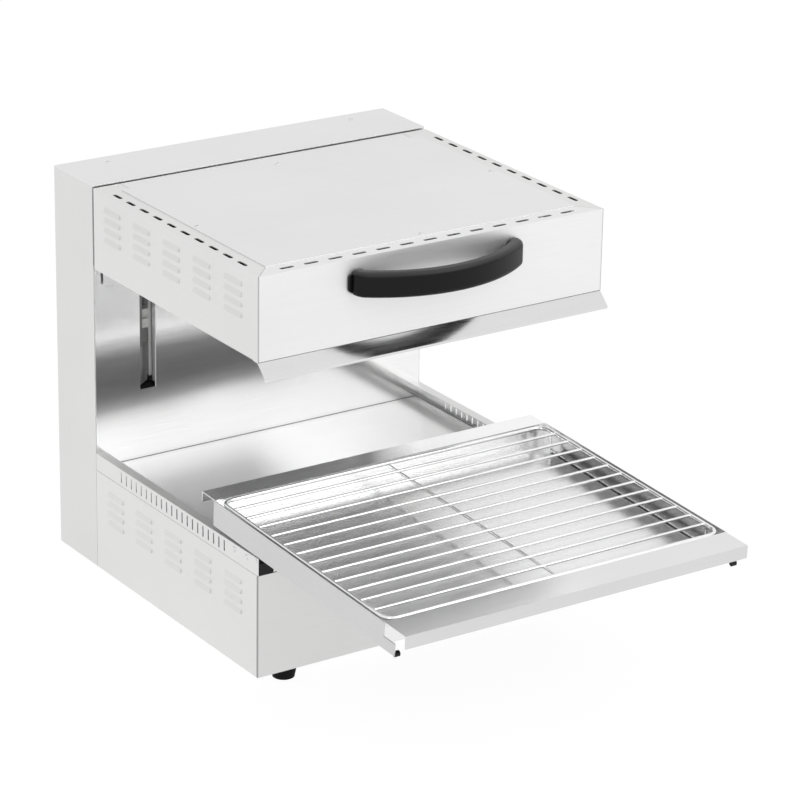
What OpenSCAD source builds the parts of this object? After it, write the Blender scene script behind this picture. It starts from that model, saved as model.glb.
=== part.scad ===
// Rise-and-fall cheese melter: a heated hood that slides on a rear tower,
// over a base whose rails carry a pull-out tray with a wire grid.
// X is the width, +Y points to the back, +Z is up.
// The origin is on the bench, under the middle of the whole with its tray pulled out.

/* [Casing] */
// Width of the casing
body_w = 475; // [430:1:540]
// Depth of the base in front of the tower
base_d = 376; // [340:1:420]
// Depth of the tower
tower_d = 94; // [86:1:110]
// Height of the tower above the underside of the base
tower_h = 492; // [470:1:540]
// Height of the base up to the seam under the rails
base_h = 128; // [118:1:140]
// Thickness of the casing sheet
sheet = 1.2; // [1:0.1:1.5]

/* [Rails] */
// Height of the slotted rail strip
rail_h = 22; // [20:0.5:26]
// Width of the rail's flange
rail_flange = 12.5; // [11.5:0.5:15]
// Number of vent slots in a rail
rail_slots = 21; // [8:1:22]
// Pitch of the rail's vent slots
rail_slot_pitch = 12; // [9:0.5:12.5]

/* [Hood] */
// Height of the hood
hood_h = 102; // [96:1:112]
// How far the hood travels down
hood_travel = 150; // [100:5:160]
// Number of vent slots along each side of the rim
rim_slots_side = 10; // [4:1:10]
// Number of vent slots along the front of the rim
rim_slots_front = 13; // [5:1:13]
// Length of a vent slot in the rim
rim_slot_l = 18.5; // [14:0.5:21]
// Width of a vent slot in the rim
rim_slot_w = 5; // [3:0.5:6]

/* [Handle] */
// Radius of the handle's bow at its middle line
bow_r = 175; // [160:1:195]
// Half the distance between the handle's ends, at their middle lines
bow_half = 107; // [100:0.5:112]
// Depth of the handle's section
grip_d = 17; // [15:0.5:20]
// Height of the handle's section
grip_h = 30.5; // [26:0.5:33]

/* [Tray] */
// Length of the tray between its front and rear walls
tray_l = 358; // [320:1:360]
// How far the tray is pulled out past the rail's front end
tray_out = 257; // [180:1:260]
// Height of the tray's side plates
tray_h = 32; // [28:1:36]
// Thickness of the tray's sheet
tray_t = 1; // [0.8:0.1:1.2]
// Depth of the tray's front flange
tray_front_flange = 40; // [30:1:42]
// Depth of the tray's rear flange
tray_rear_flange = 28; // [16:1:28]
// Angle at which the pulled-out tray droops
tray_tilt = 2.4; // [1:0.1:3]

/* [Grid] */
// Number of cross bars in the grid
grid_bars = 12; // [6:1:16]
// Diameter of the grid's frame wire
frame_wire = 5; // [4:0.5:5.5]
// Diameter of the grid's cross bars
bar_wire = 3.4; // [2.5:0.1:4]

/* [Lift] */
// Groove radius of the cable pulleys
pulley_r = 22.7; // [20:0.1:24]
// Diameter of the lifting cables
cable_d = 2; // [1.5:0.5:2.5]
// Height of the counterweight
weight_h = 125; // [80:1:130]

/* [Feet and controls] */
// Height of the feet
foot_h = 15; // [12:1:20]
// Diameter of the feet at the top
foot_d = 32; // [26:1:38]
// Diameter of the control knobs
knob_d = 40; // [34:1:46]

/* [Hidden] */
$fn = 48;

// Shared clearances
over = 1;            // overrun of a cut past the face it goes through
rest_gap = 0.3;      // between pieces of different bodies that rest on each other
run_gap = 0.05;      // radial play of a pin or shaft in its hole
slide_gap = 0.5;     // play of a sliding block in its channel
seam = 0.4;          // visible joint line between two sheets
open_seam = 0.9;     // wider joint line, at a corner or along the floor

// Cord gland
gland_inset = 57.5;          // gland's middle from the casing's side
gland_up = 45;               // above the underside of the base
gland_r = 8;
gland_nut_r = 12;
gland_nut_h = 5;
gland_dome_h = 9;
gland_in = 10;
gland_bore_r = 4;

// Glides at the rails' front ends, and the tray's height over their axis
glide_r = 3.5;
glide_l = 9.5;
glide_pin_r = 1.5;
glide_back = 4.5;            // glide's axis behind the rail's front end
glide_side = 0.4;            // play between glide and rail strip
plate_low = glide_r + rest_gap;
tray_top = plate_low + tray_h;

// Main planes
x_out = body_w / 2;
x_in = x_out - sheet;
gland_x = -x_out + gland_inset;
gland_out = gland_nut_h + gland_dome_h;
tray_nose = (tray_out + glide_back + tray_front_flange) * cos(tray_tilt)
    + tray_top * sin(tray_tilt) - glide_back;
y_back = (base_d + tower_d + tray_nose - gland_out) / 2;
y_tower = y_back - tower_d;
y_front = y_tower - base_d;
z_base = foot_h;
z_seam = z_base + base_h;
z_rail = z_seam + rail_h;
z_top = z_base + tower_h;

// Base sheets
flange_up = 12;          // upturned edge of the bottom sheet
front_return = 10;       // return along the top of the base front
rail_leg = 6;            // depth of the rail's leg inside the base side
rail_foot = 10;          // inward foot of the rail's leg, under the floor plate
rail_jog = 3;            // where the rail's skin steps inward, above the seam
floor_rise = 3.5;        // floor plate above the seam
floor_gap = 3;           // open joint between floor plate and rail leg
vent_l = 40;             // vent slots in the bottom and the back
vent_w = 4;
vent_pitch = 14;
bottom_vents = 8;
back_vents = 12;
back_vent_share = 0.2;       // middle of the back vents, as a share of half the width

// Pressed louvres
louvre_l = 36;
louvre_h = 6;
louvre_rise = 2.2;
louvre_t = 0.7;
louvre_pitch = 12.5;
louvre_rows = 4;
louvre_cols = 5;
louvre_col_pitch = 68.5;
louvre_first_inset = 48;     // first column's middle in front of the tower's front
base_louvre_drop = 38.5;      // middle of the base louvres below the seam
hood_louvre_drop = 37;       // middle of the hood louvres below the rim

// Rail details
rail_slot_w = 2.6;
rail_slot_h = 14;
rail_slot_z = 4.5;           // foot of a slot above the seam
rail_slot_first = 62;        // first slot in front of the tower
rivet_d = 7;
rivet_head = 1;
rivet_shank_d = 3;
rivet_first = 26;            // front rivet behind the rail's front end
rivet_pitch = 27;
rivet_z = 14.5;              // rivets above the seam
glide_y = y_front + glide_back;
glide_z = z_rail - glide_r + rest_gap;

// Blocks at the rails' front ends
end_block_w = 20;
end_block_d = 12;
end_block_in = 0.2;          // behind the face of the base front

// Feet
foot_low_d_share = 0.82;
foot_inset_side = 46.5;
foot_inset_front = 18;
foot_inset_back = 35;
foot_plug_r = 5;
foot_plug_h = 4;

// Tower
slot_w = 22;
slot_inset = 73.8;           // middle of a tower slot from the casing's side
slot_x = x_out - slot_inset;
slot_spare = 26;             // foot of the slots below the lowered arms
slot_top_drop = 12;          // top of the slots below the tower's top
slot_return = 8;             // depth of the slot's inboard return
screw_head_d = 7;
screw_head_h = 1.2;
screw_d = 4;
screw_l = 6;
top_screw_inset = 62.5;
top_screw_x = x_out - top_screw_inset;
top_screw_back = 22;         // top screws in front of the tower's back
back_screw_inset = 18;
back_screw_rows = 3;

// Hood planes
hood_drop = 1.5;             // cover's top below the tower's top
hood_gap = 3;                // between hood and tower
cover_t = 1;
z_cover = z_top - hood_drop;
z_rim = z_cover - cover_t;
z_hood = z_cover - hood_h;
y_hood = y_tower - hood_gap;
rim_w = 36;                  // width of the rim's flange
rim_seen = 24.5;             // part of the rim that the cover leaves open
rim_slot_inset_side = 9;
rim_slot_inset_front = 12;
rim_slot_pitch_side = 31.3;
rim_slot_pitch_front = 32.2;
rim_slot_back = 42.5;        // first side slot in front of the hood's back
hood_return = 10;            // return along the hood's lower edge
skirt_h = 23;                // hood back plate below the hood
skirt_inset = 11.5;
cover_screw_inset = 7;
cover_screw_y = 187.5;       // side screws of the cover in front of the hood's back

// Heat deflector under the front
deflector_out = 15;
deflector_drop = 15.7;
deflector_tab = 11;
deflector_hem = 3;

// Heating elements, reflector and holders
reflector_t = 1;
reflector_inset = 5.5;
reflector_up = 35;           // reflector's top above the hood's lower edge
element_d = 7;
element_up = 17.5;
element_runs = 4;
element_pitch = 60;
element_x = 25;              // inner run from the centre plane
element_run_front = 45;      // bend of the runs behind the hood's front
element_run_back = 48;       // bend of the runs in front of the hood's back
element_lead = 26;           // leads past the rear bend, up to their rise
element_rise_r = 12;
element_rise = 26;
holder_t = 1.5;
holder_drop = 4;             // holder's foot below the element's middle
holder_edge = 9;
holder_shares = [0.3, 0.72];

// Handle
grip_round = 6;
grip_up = 72.5;              // middle of the grip above the hood's lower edge
bow_end_r = 12;              // bend at each end of the bow, at its middle line
spacer_t = 3;
spacer_h = 22;
spacer_over = 4;             // spacer past the grip's outer side
spacer_round = 4;
handle_screw_r = 2.5;
handle_screw_in = 8;
handle_screw_head_r = 4.5;
handle_screw_head_h = 4;
bow_end_x = bow_half - bow_end_r;
bow_back = sqrt(pow(bow_r - bow_end_r, 2) - pow(bow_end_x, 2));
bow_turn = asin(bow_end_x / (bow_r - bow_end_r));
bow_y = y_front - spacer_t + bow_back;

// Lift carriage and its guides
plate_t = 4;
plate_inset = 65.5;          // outboard face of a carriage plate from the casing's side
plate_x = x_out - plate_inset;
plate_back = 35;             // carriage plate behind the tower's front
plate_in = 5;                // front edge of the plate's lower part inside the tower
arm_low = 8.5;               // arm's foot above the hood's lower edge
z_slot = z_hood + arm_low - hood_travel - slot_spare;
arm_top = 13;                // arm's top below the rim
plate_drop = 114.5;          // plate's foot below the hood's lower edge
lug_low = 21.5;              // anchor lug's foot above the hood's lower edge
lug_h = 15;
lug_l = 16;
lug_w = 8;
channel_inset = 86.5;        // web of the guide channel from the casing's side
channel_x = x_out - channel_inset;
channel_t = 1.2;
channel_front = 13;          // channel behind the tower's front
channel_d = 23;
channel_flange = 4;
notch_over = 10;             // channel's notch over and under the foot of the tower's slots
notch_under = 6;
glide_low_up = 20;           // lower glide above the plate's foot
glide_low_h = 24;
glide_high_drop = 35;        // upper glide's foot below the plate's top
glide_high_h = 22;
glide_groove = 6;
glide_groove_up = 14;        // groove's middle above the glide's foot

// Pulley beam, pulleys, cables and counterweight
beam_drop = 57;              // beam's foot below the tower's top
beam_top_drop = 8;
beam_d = 25;
beam_t = 1.2;
pulley_lip = 3.3;
pulley_w = 10;
pulley_drop = 37;            // pulley's axis below the tower's top
axle_r = 4;
axle_head_r = 6;
axle_head_h = 2;
boss_r = 8;
groove_gap = 0.3;
cable_r = cable_d / 2;
wrap_r = pulley_r + groove_gap + cable_r;
channel_y = y_tower + channel_front;
beam_y = channel_y + channel_d;
pulley_y = beam_y + beam_t + (beam_d - beam_t) / 2;
pulley_z = z_top - pulley_drop;
lug_z = z_hood + lug_low;
cable_x = plate_x - plate_t - 7 * cable_r;
pulley_x = cable_x - wrap_r;
weight_cable_x = pulley_x - wrap_r;
weight_t = 30;
weight_side = 13;            // counterweight past its cable
weight_up = 17;              // counterweight above the underside of the base
anchor_r = 4;
anchor_h = 10;
rod_share = 0.36;            // guide rods, as a share of half the width
rod_x = x_out * rod_share;
rod_r = 4;

// Controls in the base front
knob_shares = [0.3, 0.64];   // knobs, as shares of half the width
knob_x = [for (k = knob_shares) x_out * k];
knob_up = 64;
lamp_up = 104;
knob_h = 20;
knob_skirt_h = 4;
knob_grip_share = 0.74;
knob_gap = 0.5;
pointer_w = 5;
pointer_h = 4;
shaft_r = 3;
shaft_l = 26;
bush_r = 5;
bush_out = 2;
regulator_w = 40;
regulator_d = 28;
lamp_r = 5;
lamp_out = 2.5;
lamp_bezel_r = 6.5;
lamp_bezel_h = 1;
lamp_in = 18;
terminal_w = 62;
terminal_d = 26;
terminal_h = 20;
terminal_ways = 5;
terminal_hole_r = 2.5;
terminal_x = -x_out / 2;
terminal_front = 60;         // terminal block in front of the tower's front

// Tray in its own level frame: the glides' axis is its origin, -Y is outward
tray_floor_up = 5;
tray_side_in = 1.5;          // tray's side plates inside the rails' outer faces
tray_y_front = -tray_out - glide_back;
tray_y_rear = tray_y_front + tray_l;
tray_x = x_out - tray_side_in - tray_t;
rear_lip = 13;
front_lip = 16;
lip_cut = 2;
tongue_l = 22;
tongue_h = 15;
tray_pin_r = 3.5;
tray_pin_l = 6;
tray_pin_back = 2;
tray_pin_up = 2;

// Grid inside the tray
grid_side = 2;               // grid's frame inside the tray's walls
grid_round = 14;
grid_drop = 1.8;             // frame's middle below the tray's top
leg_wire = 3.5;
leg_inset = 3;
leg_end_inset = 20;
grid_x = tray_x - tray_t - grid_side - frame_wire / 2;
grid_y0 = tray_y_front + tray_t + grid_side + frame_wire / 2;
grid_y1 = tray_y_rear - tray_t - grid_side - frame_wire / 2;
grid_z = tray_top - grid_drop;
tray_floor_top = plate_low + tray_floor_up + tray_t;

// Colours
steel = [0.80, 0.80, 0.79];
bright = [0.88, 0.88, 0.88];
dark = [0.14, 0.14, 0.14];
nylon = [0.93, 0.93, 0.90];
iron = [0.35, 0.35, 0.36];

// A block between its lowest and highest corners
module box(lo, hi) {
    translate(lo) cube(hi - lo);
}

// Its children on both sides of the centre plane
module both_sides() {
    children();
    mirror([1, 0, 0]) children();
}

// A cylinder along Y from y0 to y1
module rod_y(r, y0, y1) {
    translate([0, y1, 0]) rotate([90, 0, 0]) cylinder(r = r, h = y1 - y0);
}

// A cylinder along X from x0 to x1
module rod_x_dir(r, x0, x1) {
    translate([x0, 0, 0]) rotate([0, 90, 0]) cylinder(r = r, h = x1 - x0);
}

// A rectangle with round corners, centred
module round_rect(w, h, r) {
    square([w - 2 * r, h], center = true);
    square([w, h - 2 * r], center = true);
    for (sx = [-1, 1], sy = [-1, 1])
        translate([sx * (w / 2 - r), sy * (h / 2 - r)]) circle(r = r);
}

// An obround slot along X, centred, cut through in Z
module slot_z(l, w, h) {
    linear_extrude(h) {
        square([l - w, w], center = true);
        for (sx = [-1, 1]) translate([sx * (l - w) / 2, 0]) circle(r = w / 2);
    }
}

// An outline in Y and Z, extruded along X from x0 to x1
module profile_x(x0, x1) {
    translate([x0, 0, 0]) rotate([90, 0, 90]) linear_extrude(x1 - x0) children();
}

// An outline in X and Z, extruded along Y from y0 to y1
module profile_y(y0, y1) {
    translate([0, y1, 0]) rotate([90, 0, 0]) linear_extrude(y1 - y0) children();
}

// A pan-head screw: its head stands on Z = 0 and its shank hangs below
module screw(d, l, head_d, head_h) {
    translate([0, 0, -l]) cylinder(r = d / 2, h = l + head_h);
    cylinder(r = head_d / 2, h = head_h);
}

// Its children at every louvre of a field on the left side
module at_louvres(y_first, z_mid) {
    for (col = [0 : louvre_cols - 1], row = [0 : louvre_rows - 1])
        translate([-x_out, y_first - col * louvre_col_pitch,
                   z_mid + (row - (louvre_rows - 1) / 2) * louvre_pitch])
            children();
}

// A louvre's hood on the sheet's outer face, with the mouth below
module louvre_hood() {
    profile_y(-louvre_l / 2, louvre_l / 2)
        polygon([
            [sheet / 2, -louvre_h / 2], [-louvre_rise, -louvre_h / 2],
            [0, louvre_h / 2], [sheet / 2, louvre_h / 2]
        ]);
}

// The space inside a louvre's hood, open through the sheet
module louvre_inside() {
    top = louvre_h / 2 - louvre_t * louvre_h / louvre_rise;
    profile_y(-louvre_l / 2 + louvre_t, louvre_l / 2 - louvre_t)
        polygon([
            [sheet + over, -louvre_h / 2], [0, -louvre_h / 2], [0, -louvre_h / 2 - over],
            [-louvre_rise + louvre_t, -louvre_h / 2 - over],
            [-louvre_rise + louvre_t, -louvre_h / 2], [0, top], [sheet + over, top]
        ]);
}

// Left side sheet of the base, with its louvres
module base_side() {
    color(steel)
        difference() {
            union() {
                box([-x_out, y_front + sheet + open_seam, z_base], [-x_in, y_tower, z_seam]);
                at_louvres(y_tower - louvre_first_inset, z_seam - base_louvre_drop) louvre_hood();
            }
            at_louvres(y_tower - louvre_first_inset, z_seam - base_louvre_drop) louvre_inside();
        }
}

// Front sheet of the base, with its control holes
module base_front() {
    color(steel)
        difference() {
            union() {
                box([-x_out, y_front, z_base], [x_out, y_front + sheet, z_seam]);
                box([-x_in, y_front, z_seam - sheet],
                    [x_in, y_front + sheet + front_return, z_seam]);
            }
            for (x = knob_x) {
                translate([x, 0, z_base + knob_up])
                    rod_y(bush_r + run_gap, y_front - over, y_front + sheet + over);
                translate([x, 0, z_base + lamp_up])
                    rod_y(lamp_r + run_gap, y_front - over, y_front + sheet + over);
            }
        }
}

// Bottom sheet of the whole casing, upturned at its edges
module base_bottom() {
    y0 = y_front + sheet;
    y1 = y_back - sheet;
    color(steel)
        difference() {
            box([-x_in, y0, z_base], [x_in, y1, z_base + flange_up]);
            box([-x_in + sheet, y0 + sheet, z_base + sheet],
                [x_in - sheet, y1 - sheet, z_base + flange_up + over]);
            for (i = [0 : bottom_vents - 1])
                translate([0, (i - (bottom_vents - 1) / 2) * vent_pitch, z_base - over])
                    slot_z(vent_l, vent_w, sheet + 2 * over);
            for (p = foot_places())
                translate([p[0], p[1], z_base - over])
                    cylinder(r = foot_plug_r + run_gap, h = sheet + 2 * over);
        }
}

function foot_places() = [
    for (y = [y_front + foot_inset_front, y_back - foot_inset_back], s = [-1, 1])
        [s * (x_out - foot_inset_side), y]
];

// Floor plate between the rails, with turned-down edges
module floor_plate() {
    z1 = z_seam + floor_rise;
    x1 = x_in - sheet - floor_gap;
    y0 = y_front + sheet;
    y1 = y_tower - open_seam;
    color(bright) {
        box([-x1, y0, z1 - sheet], [x1, y1, z1]);
        both_sides()
            box([-x1, y0 + sheet + front_return + seam, z_seam - rail_leg + sheet],
                [-x1 + sheet, y1, z1]);
        box([-x1, y0, z_seam], [x1, y0 + sheet, z1]);
    }
}

// Left rail: slotted skin, flange for the tray, and the leg and foot that carry the floor
module tray_rail() {
    color(steel)
        difference() {
            profile_y(y_front, y_tower)
                polygon([
                    [-x_out, z_seam + seam], [-x_out, z_rail],
                    [-x_out + rail_flange, z_rail], [-x_out + rail_flange, z_rail - sheet],
                    [-x_in, z_rail - sheet], [-x_in, z_seam + rail_jog],
                    [-x_in + sheet, z_seam + rail_jog],
                    [-x_in + sheet, z_seam - rail_leg + sheet],
                    [-x_in + rail_foot, z_seam - rail_leg + sheet],
                    [-x_in + rail_foot, z_seam - rail_leg],
                    [-x_in, z_seam - rail_leg], [-x_in, z_seam + seam]
                ]);
            for (i = [0 : rail_slots - 1])
                translate([-x_out - over, y_tower - rail_slot_first - i * rail_slot_pitch,
                           z_seam + rail_slot_z + rail_slot_h / 2])
                    rotate([0, 90, 0])
                        slot_z(rail_slot_h, rail_slot_w, sheet + 2 * over);
            box([-x_in, y_front - over, z_rail - sheet - over],
                [-x_out + rail_flange + over, glide_y + glide_r + slide_gap, z_rail + over]);
            box([-x_in, y_front - over, z_seam - rail_leg - over],
                [-x_in + rail_foot + over, y_front + 2 * sheet + front_return, z_seam + rail_jog + over]);
            translate([0, glide_y, glide_z])
                rod_x_dir(glide_pin_r + run_gap, -x_out - over, -x_in + over);
            for (i = [0, 1])
                translate([0, y_front + rivet_first + i * rivet_pitch, z_seam + rivet_z])
                    rod_x_dir(rivet_shank_d / 2 + run_gap, -x_out - over, -x_in + over);
        }
}

// Round-headed rivets near the front ends of the rails
module rail_rivets() {
    color(steel)
        both_sides()
            for (i = [0, 1])
                translate([0, y_front + rivet_first + i * rivet_pitch, z_seam + rivet_z]) {
                    rod_x_dir(rivet_d / 2, -x_out - rivet_head, -x_out);
                    rod_x_dir(rivet_shank_d / 2, -x_out - rivet_head, -x_in + rivet_head);
                    rod_x_dir(rivet_d / 2, -x_in, -x_in + rivet_head);
                }
}

// Black blocks that close the rails' front ends, on the floor plate under the glides
module rail_end_blocks() {
    x1 = -x_in + end_block_w;
    z1 = glide_z - glide_r - slide_gap;
    color(dark)
        both_sides() {
            box([-x_in, y_front + end_block_in, z_seam], [x1, y_front + sheet, z1]);
            box([-x_in, y_front + end_block_in, z_seam + floor_rise],
                [x1, y_front + end_block_d, z1]);
        }
}

// Left side sheet of the tower
module tower_side() {
    color(steel)
        box([-x_out, y_tower + seam, z_base], [-x_in, y_back - sheet, z_top - sheet]);
}

// Top sheet of the tower
module tower_top() {
    color(steel)
        difference() {
            box([-x_out, y_tower, z_top - sheet], [x_out, y_back, z_top]);
            for (s = [-1, 1])
                translate([s * top_screw_x, y_back - top_screw_back, z_top - sheet - over])
                    cylinder(r = screw_d / 2 + run_gap, h = sheet + 2 * over);
        }
}

// Bright sheet in front of the tower, with two slots for the carriage arms
module tower_front_panel() {
    z0 = z_slot;
    z1 = z_top - slot_top_drop;
    color(bright) {
        difference() {
            box([-x_in, y_tower, z_seam - flange_up], [x_in, y_tower + sheet, z_top - sheet]);
            both_sides()
                box([-slot_x - slot_w / 2, y_tower - over, z0],
                    [-slot_x + slot_w / 2, y_tower + sheet + over, z1]);
        }
        both_sides()
            box([-slot_x + slot_w / 2, y_tower, z0],
                [-slot_x + slot_w / 2 + sheet, y_tower + slot_return, z1]);
    }
}

// Rear sheet, with vent slots and the hole for the cord gland
module tower_back_panel() {
    color(steel)
        difference() {
            box([-x_out, y_back - sheet, z_base], [x_out, y_back, z_top - sheet]);
            both_sides()
                for (i = [0 : back_vents - 1])
                    translate([-x_out * back_vent_share, y_back + over,
                               z_top - tower_h / 3 + (i - back_vents / 2) * vent_pitch])
                        rotate([90, 0, 0])
                            slot_z(vent_l, vent_w, sheet + 2 * over);
            translate([gland_x, 0, z_base + gland_up])
                rod_y(gland_r + run_gap, y_back - sheet - over, y_back + over);
            for (p = back_screw_places())
                translate([p[0], 0, p[1]])
                    rod_y(screw_d / 2 + run_gap, y_back - sheet - over, y_back + over);
        }
}

function back_screw_places() = [
    for (sx = [-1, 1], i = [0 : back_screw_rows - 1])
        [sx * (x_out - back_screw_inset),
         z_base + back_screw_inset
            + i * (tower_h - sheet - 2 * back_screw_inset) / (back_screw_rows - 1)]
];

// Screws of the tower's top and rear sheets
module casing_screws() {
    color(steel) {
        for (s = [-1, 1])
            translate([s * top_screw_x, y_back - top_screw_back, z_top])
                screw(screw_d, screw_l, screw_head_d, screw_head_h);
        for (p = back_screw_places())
            translate([p[0], y_back, p[1]])
                rotate([-90, 0, 0]) screw(screw_d, screw_l, screw_head_d, screw_head_h);
    }
}

// Left guide channel, open to the outside, standing on the bottom sheet
module guide_rail() {
    y0 = channel_y;
    y1 = channel_y + channel_d;
    x1 = -channel_x - channel_flange;
    color(steel)
        difference() {
            linear_extrude_between(z_base + sheet, z_top - beam_top_drop)
                polygon([
                    [-channel_x, y0], [-channel_x, y1], [x1, y1], [x1, y1 - channel_t],
                    [-channel_x - channel_t, y1 - channel_t],
                    [-channel_x - channel_t, y0 + channel_t], [x1, y0 + channel_t], [x1, y0]
                ]);
            box([x1 - over, y0 - over, z_slot - notch_under],
                [-channel_x + over, y0 + channel_d / 2, z_slot + notch_over]);
        }
}

// An outline in X and Y, extruded from z0 to z1
module linear_extrude_between(z0, z1) {
    translate([0, 0, z0]) linear_extrude(z1 - z0) children();
}

// Cross beam that holds the pulley axles, fixed to the tower's sides
module pulley_beam() {
    z0 = z_top - beam_drop;
    z1 = z_top - beam_top_drop;
    color(steel)
        difference() {
            union() {
                box([-x_in, beam_y, z0], [x_in, beam_y + beam_t, z1]);
                box([-x_in, beam_y + beam_d, z0], [x_in, beam_y + beam_d + beam_t, z1]);
                box([-x_in, beam_y, z1 - beam_t], [x_in, beam_y + beam_d + beam_t, z1]);
            }
            for (s = [-1, 1]) {
                translate([s * pulley_x, 0, pulley_z])
                    rod_y(axle_r + run_gap, beam_y - over, beam_y + beam_d + beam_t + over);
            }
        }
}

// Headed axles of the two pulleys
module pulley_axles() {
    color(iron)
        for (s = [-1, 1])
            translate([s * pulley_x, 0, pulley_z]) {
                rod_y(axle_r, beam_y, beam_y + beam_d + beam_t + axle_head_h);
                rod_y(axle_head_r, beam_y + beam_d + beam_t, beam_y + beam_d + beam_t + axle_head_h);
            }
}

// Two rods between bottom sheet and beam that keep the counterweight in line
module weight_guide_rods() {
    color(steel)
        for (s = [-1, 1])
            translate([s * rod_x, pulley_y, z_base + sheet])
                cylinder(r = rod_r, h = z_top - beam_top_drop - beam_t - z_base - sheet);
}

// Cable stretches between the carriage lugs and the pulleys
module cable_hood_side() {
    color(iron)
        for (s = [-1, 1])
            translate([s * cable_x, pulley_y, lug_z + lug_h])
                cylinder(r = cable_r, h = pulley_z - lug_z - lug_h);
}

// Cable stretches between the pulleys and the counterweight
module cable_weight_side() {
    z0 = z_base + weight_up + weight_h + anchor_h;
    color(iron)
        for (s = [-1, 1])
            translate([s * weight_cable_x, pulley_y, z0])
                cylinder(r = cable_r, h = pulley_z - z0);
}

// Half turns of cable over the pulleys
module cable_over_pulleys() {
    color(iron)
        for (s = [-1, 1])
            translate([s * pulley_x, pulley_y, pulley_z])
                rotate([90, 0, 0])
                    rotate_extrude(angle = 180) translate([wrap_r, 0]) circle(r = cable_r);
}

// Energy regulators behind the base front, with bushings through it
module energy_regulators() {
    color(dark)
        for (x = knob_x)
            translate([x, 0, z_base + knob_up])
                difference() {
                    union() {
                        box([-regulator_w / 2, y_front + sheet, -regulator_w / 2],
                            [regulator_w / 2, y_front + sheet + regulator_d, regulator_w / 2]);
                        rod_y(bush_r, y_front - bush_out, y_front + sheet + bush_out);
                    }
                    rod_y(shaft_r + run_gap, y_front - bush_out - over,
                          y_front - bush_out + shaft_l + slide_gap);
                }
}

// Round pilot lamps above the knobs
module pilot_lamps() {
    color([0.85, 0.45, 0.1])
        for (x = knob_x)
            translate([x, 0, z_base + lamp_up]) {
                rod_y(lamp_bezel_r, y_front - lamp_bezel_h, y_front);
                rod_y(lamp_r, y_front - lamp_bezel_h / 2, y_front + lamp_in);
                rod_y(lamp_r - lamp_bezel_h, y_front - lamp_bezel_h - lamp_out, y_front);
            }
}

// Terminal block on the bottom sheet
module terminal_block() {
    pitch = terminal_w / terminal_ways;
    y0 = y_tower - terminal_front;
    color(nylon)
        difference() {
            box([terminal_x - terminal_w / 2, y0, z_base + sheet],
                [terminal_x + terminal_w / 2, y0 + terminal_d, z_base + sheet + terminal_h]);
            for (i = [0 : terminal_ways - 1])
                translate([terminal_x + (i - (terminal_ways - 1) / 2) * pitch, 0,
                           z_base + sheet + terminal_h / 2])
                    rod_y(terminal_hole_r, y0 - over, y0 + terminal_d + over);
        }
}

// Cord gland through the rear sheet
module cord_gland() {
    color(dark)
        translate([gland_x, y_back, z_base + gland_up])
            rotate([-90, 0, 0])
                rotate_extrude()
                    polygon([
                        [gland_bore_r, -sheet - gland_in], [gland_nut_r, -sheet - gland_in],
                        [gland_nut_r, -sheet], [gland_r, -sheet], [gland_r, 0],
                        [gland_nut_r, 0], [gland_nut_r, gland_nut_h],
                        [gland_r, gland_nut_h + gland_dome_h],
                        [gland_bore_r, gland_nut_h + gland_dome_h]
                    ]);
}

// A rubber foot with the plug that holds it in the bottom sheet
module foot(i) {
    p = foot_places()[i];
    low_r = foot_d * foot_low_d_share / 2;
    color(dark)
        translate([p[0], p[1], 0])
            rotate_extrude()
                polygon([
                    [0, 0], [low_r, 0], [foot_d / 2, foot_h],
                    [foot_plug_r, foot_h], [foot_plug_r, foot_h + foot_plug_h], [0, foot_h + foot_plug_h]
                ]);
}

// Vent slots in the rim, for the side given by its direction and middle line
module rim_slots_along_y() {
    for (i = [0 : rim_slots_side - 1])
        translate([-x_out + rim_slot_inset_side, y_hood - rim_slot_back - i * rim_slot_pitch_side,
                   z_rim - sheet - over])
            rotate([0, 0, 90]) slot_z(rim_slot_l, rim_slot_w, sheet + 2 * over);
}

module rim_slots_along_x() {
    for (i = [0 : rim_slots_front - 1])
        translate([(i - (rim_slots_front - 1) / 2) * rim_slot_pitch_front,
                   y_front + rim_slot_inset_front, z_rim - sheet - over])
            slot_z(rim_slot_l, rim_slot_w, sheet + 2 * over);
}

// Left side sheet of the hood: louvres, slotted rim and lower return
module hood_side() {
    y1 = y_hood - sheet;
    color(steel)
        difference() {
            union() {
                box([-x_out, y_front + sheet, z_hood], [-x_in, y1, z_rim]);
                box([-x_out, y_front + sheet, z_hood], [-x_in + hood_return, y1, z_hood + sheet]);
                linear_extrude_between(z_rim - sheet, z_rim)
                    polygon([
                        [-x_out, y_front + sheet], [-x_in, y_front + sheet + seam / 2],
                        [-x_out + rim_w, y_front + rim_w + seam / 2],
                        [-x_out + rim_w, y1], [-x_out, y1]
                    ]);
                at_louvres(y_tower - louvre_first_inset, z_rim - hood_louvre_drop) louvre_hood();
            }
            rim_slots_along_y();
            at_louvres(y_tower - louvre_first_inset, z_rim - hood_louvre_drop) louvre_inside();
        }
}

// Front sheet of the hood, with its slotted rim and lower return
module hood_front() {
    color(steel)
        difference() {
            union() {
                box([-x_out, y_front, z_hood], [x_out, y_front + sheet, z_rim]);
                box([-x_in + hood_return, y_front, z_hood],
                    [x_in - hood_return, y_front + sheet + hood_return, z_hood + sheet]);
                linear_extrude_between(z_rim - sheet, z_rim)
                    polygon([
                        [-x_in + seam, y_front], [x_in - seam, y_front],
                        [x_in - seam, y_front + sheet],
                        [x_out - rim_w - seam / 2, y_front + rim_w],
                        [-x_out + rim_w + seam / 2, y_front + rim_w],
                        [-x_in + seam, y_front + sheet]
                    ]);
            }
            rim_slots_along_x();
            for (s = [-1, 1])
                translate([s * bow_half, 0, z_hood + grip_up])
                    rod_y(handle_screw_r + run_gap, y_front - over, y_front + sheet + over);
        }
}

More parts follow.
